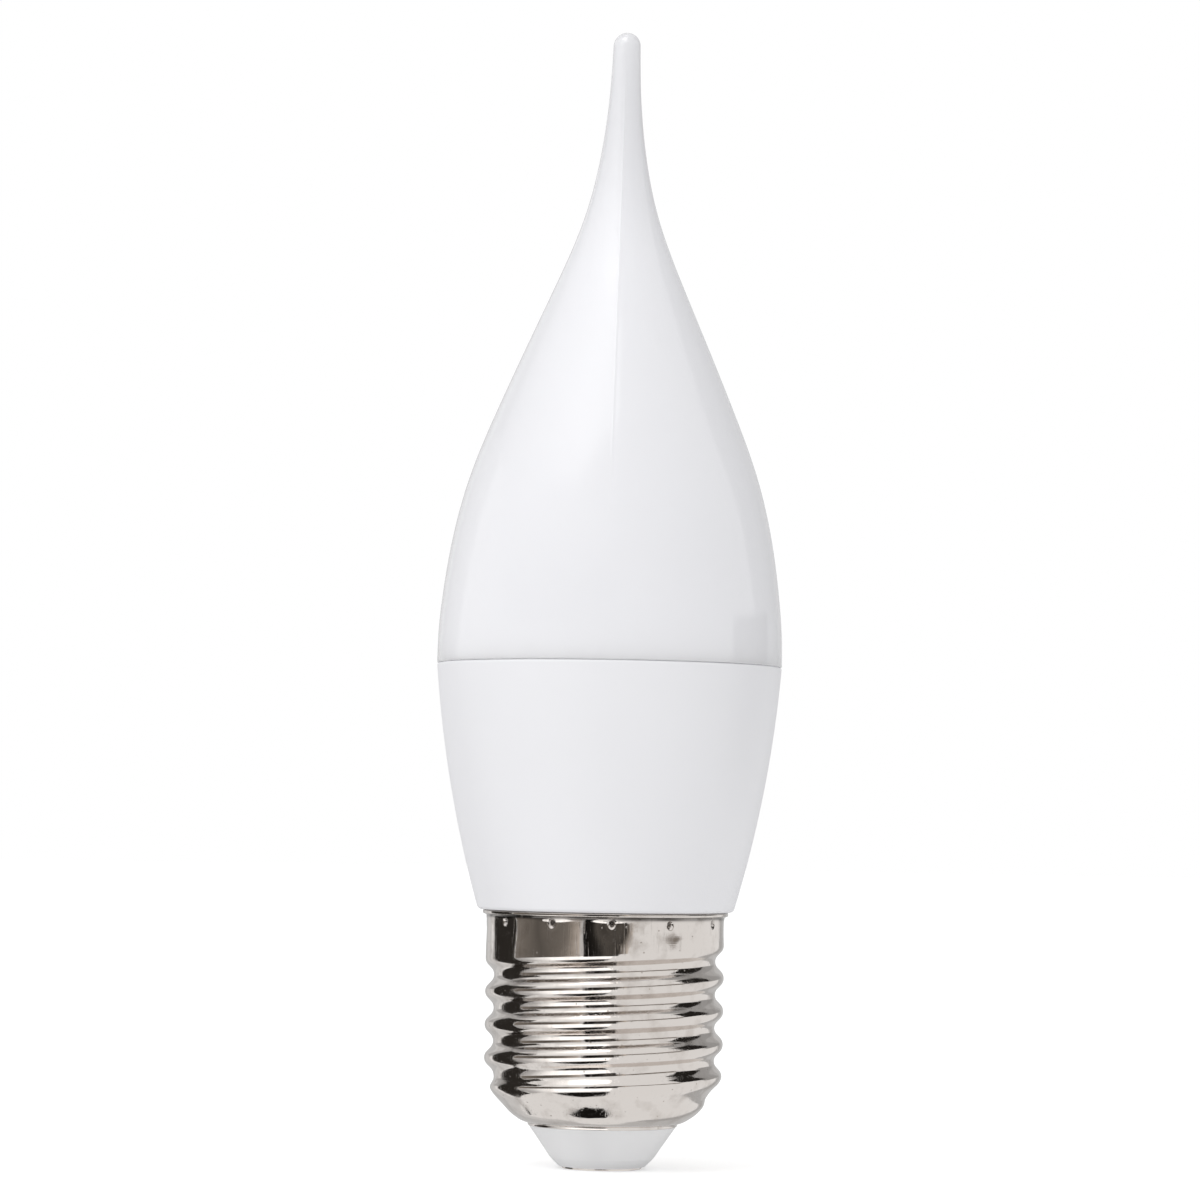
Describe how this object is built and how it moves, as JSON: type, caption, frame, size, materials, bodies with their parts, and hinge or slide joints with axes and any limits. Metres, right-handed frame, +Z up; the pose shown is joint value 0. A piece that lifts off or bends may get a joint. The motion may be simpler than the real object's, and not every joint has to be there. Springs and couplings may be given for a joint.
{
  "type": "candle bulb",
  "caption": "Flame-tip candle bulb: opal diffuser with a drawn-out leaning tip, white barrel housing and a nickel-plated screw cap with insulator and centre contact.",
  "frame": {"origin": "middle of the centre contact's lower face, on the cap's axis", "axes": "+Z up the cap's axis to the flame tip; the front looks along -Y; the tip leans towards +X"},
  "size_m": [0.0382, 0.0382, 0.1255],
  "materials": {
    "opal_diffuser": "glossy opal white moulding",
    "white_housing": "satin white moulding",
    "nickel_cap": "bright nickel plate on rolled sheet",
    "insulator": "satin white moulded insulator",
    "nickel_contact": "nickel plate"
  },
  "bodies": {
    "root": {"diffuser": "opal_diffuser", "housing": "white_housing", "screw_cap": "nickel_cap", "cap_insulator": "insulator", "centre_contact": "nickel_contact"}
  },
  "joints": []
}
